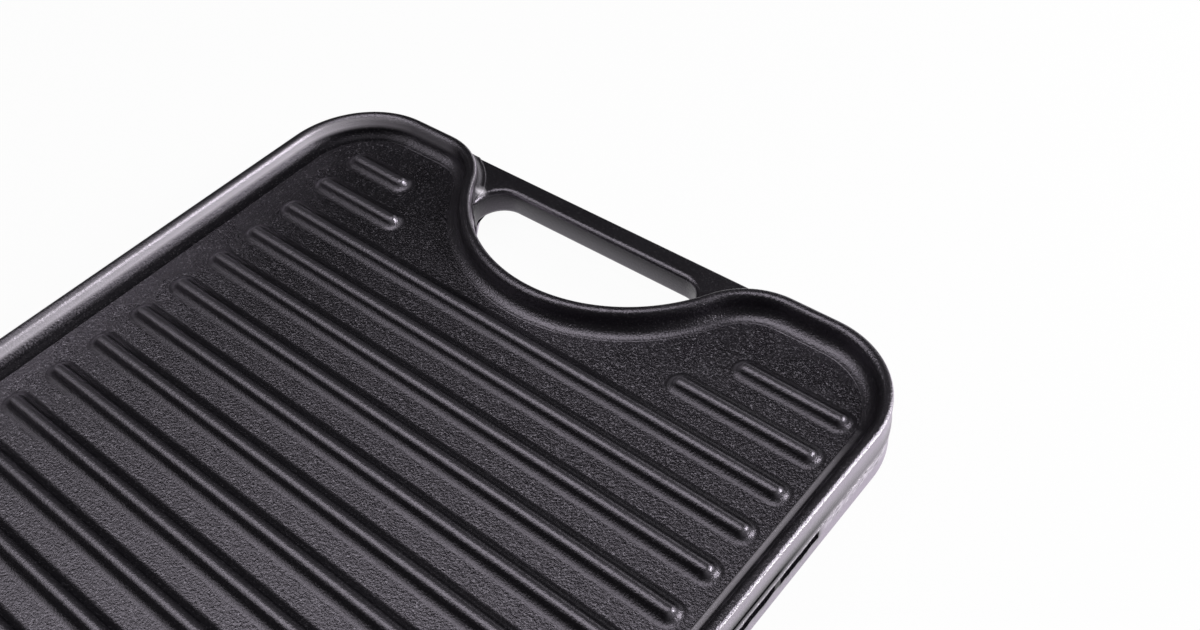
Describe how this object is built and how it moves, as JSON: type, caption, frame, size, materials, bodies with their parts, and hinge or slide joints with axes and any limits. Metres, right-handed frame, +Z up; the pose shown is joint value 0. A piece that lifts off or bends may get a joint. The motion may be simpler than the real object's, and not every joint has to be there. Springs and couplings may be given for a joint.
{
  "type": "griddle plate",
  "caption": "Reversible cast iron camp griddle plate with a ribbed grill face, a smooth griddle face, a raised rim and a grip bar over a hand hole at each end.",
  "frame": {"origin": "under the centre of the plate, on the plane that the lower rim stands on", "axes": "+Z up out of the ribbed grill face, +Y along the plate towards the rear grip, +X along the ribs to the right"},
  "size_m": [0.2644, 0.4584, 0.022],
  "materials": {
    "seasoned_iron": "seasoned, fine sand-cast grain"
  },
  "bodies": {
    "root": {"corner_rib_left_01": "seasoned_iron", "corner_rib_left_02": "seasoned_iron", "corner_rib_left_23": "seasoned_iron", "corner_rib_left_24": "seasoned_iron", "corner_rib_right_01": "seasoned_iron", "corner_rib_right_02": "seasoned_iron", "corner_rib_right_23": "seasoned_iron", "corner_rib_right_24": "seasoned_iron", "floor_plate": "seasoned_iron", "front_grip": "seasoned_iron", "griddle_bend_front": "seasoned_iron", "griddle_bend_rear": "seasoned_iron", "griddle_ear_front_left": "seasoned_iron", "griddle_ear_front_right": "seasoned_iron", "griddle_ear_rear_left": "seasoned_iron", "griddle_ear_rear_right": "seasoned_iron", "griddle_side_left": "seasoned_iron", "griddle_side_right": "seasoned_iron", "grill_bend_front": "seasoned_iron", "grill_bend_rear": "seasoned_iron", "grill_ear_front_left": "seasoned_iron", "grill_ear_front_right": "seasoned_iron", "grill_ear_rear_left": "seasoned_iron", "grill_ear_rear_right": "seasoned_iron", "grill_side_left": "seasoned_iron", "grill_side_right": "seasoned_iron", "rear_grip": "seasoned_iron", "rib_03": "seasoned_iron", "rib_04": "seasoned_iron", "rib_05": "seasoned_iron", "rib_06": "seasoned_iron", "rib_07": "seasoned_iron", "rib_08": "seasoned_iron", "rib_09": "seasoned_iron", "rib_10": "seasoned_iron", "rib_11": "seasoned_iron", "rib_12": "seasoned_iron", "rib_13": "seasoned_iron", "rib_14": "seasoned_iron", "rib_15": "seasoned_iron", "rib_16": "seasoned_iron", "rib_17": "seasoned_iron", "rib_18": "seasoned_iron", "rib_19": "seasoned_iron", "rib_20": "seasoned_iron", "rib_21": "seasoned_iron", "rib_22": "seasoned_iron"}
  },
  "joints": []
}
